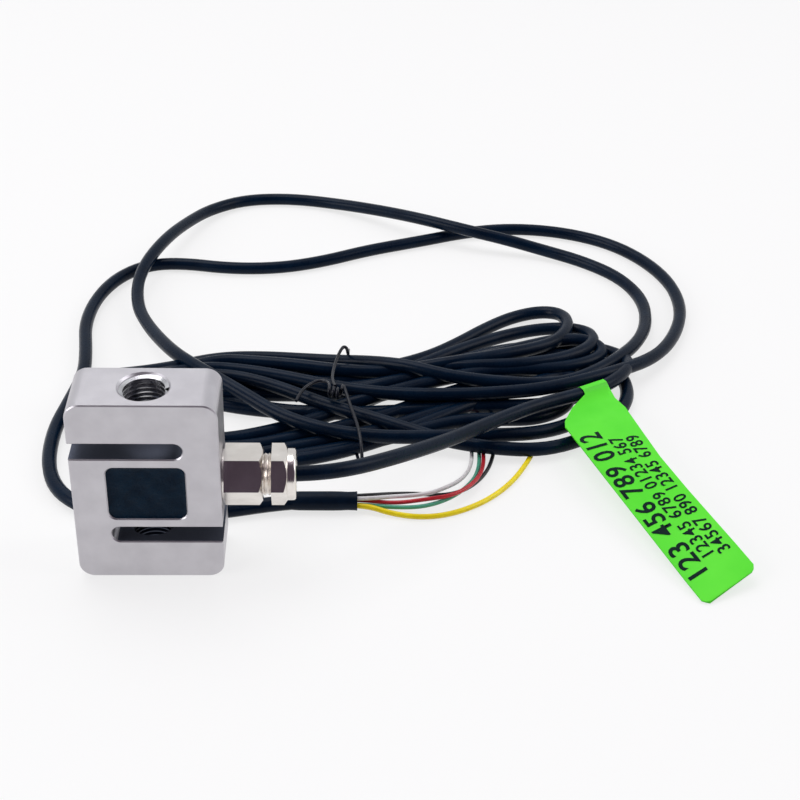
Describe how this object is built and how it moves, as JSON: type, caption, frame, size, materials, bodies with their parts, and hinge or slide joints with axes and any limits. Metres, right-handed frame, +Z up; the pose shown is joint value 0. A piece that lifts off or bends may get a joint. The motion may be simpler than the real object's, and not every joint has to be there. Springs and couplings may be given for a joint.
{
  "type": "s type load cell",
  "caption": "S-shaped aluminium load cell with threaded holes above and below, side cable gland, and a tied hank of signal cable with a stripped end and a folded flag label.",
  "frame": {"origin": "centre of the block's lower face, on the axis of the two threaded holes", "axes": "+Z up along the load axis through both threaded holes; +X out of the cable gland; +Y across the block's thickness, away from its front face"},
  "size_m": [0.1977, 0.2259, 0.0512],
  "materials": {
    "body": "bare, finely machined, matte",
    "potting": "poured compound, glossy and slightly uneven",
    "gauge": "foil on an amber backing",
    "board": "printed circuit board",
    "resistor": "chip resistor",
    "gland": "nickel plating on brass",
    "seal": "soft rubber",
    "cable": "soft PVC sheath with a low sheen",
    "sleeve": "heat-shrink tubing",
    "core_red": "core insulation",
    "core_black": "core insulation",
    "core_green": "core insulation",
    "core_white": "core insulation",
    "core_yellow": "sleeve over the shield",
    "tie": "plastic-covered wire",
    "label": "coloured label tape, plain"
  },
  "bodies": {
    "root": {"spring_body": "body", "front_potting": "potting", "rear_potting": "potting", "strain_gauge_upper_left": "gauge", "strain_gauge_upper_right": "gauge", "strain_gauge_lower_left": "gauge", "strain_gauge_lower_right": "gauge", "terminal_board": "board", "zero_trim_resistor": "resistor", "span_trim_resistor": "resistor", "inner_core_red": "core_red", "inner_core_black": "core_black", "inner_core_green": "core_green", "inner_core_white": "core_white", "gland_washer": "gland", "gland_body": "gland", "gland_seal": "seal", "gland_slip_ring": "gland", "gland_nut": "gland", "cable_lead": "cable", "cable_hank": "cable", "cable_inner_loop": "cable", "cable_outer_loop": "cable", "heat_shrink_sleeve": "sleeve", "core_black": "core_black", "core_white": "core_white", "core_green": "core_green", "core_red": "core_red", "core_yellow": "core_yellow", "wire_tie": "tie", "flag_label": "label"}
  },
  "joints": []
}
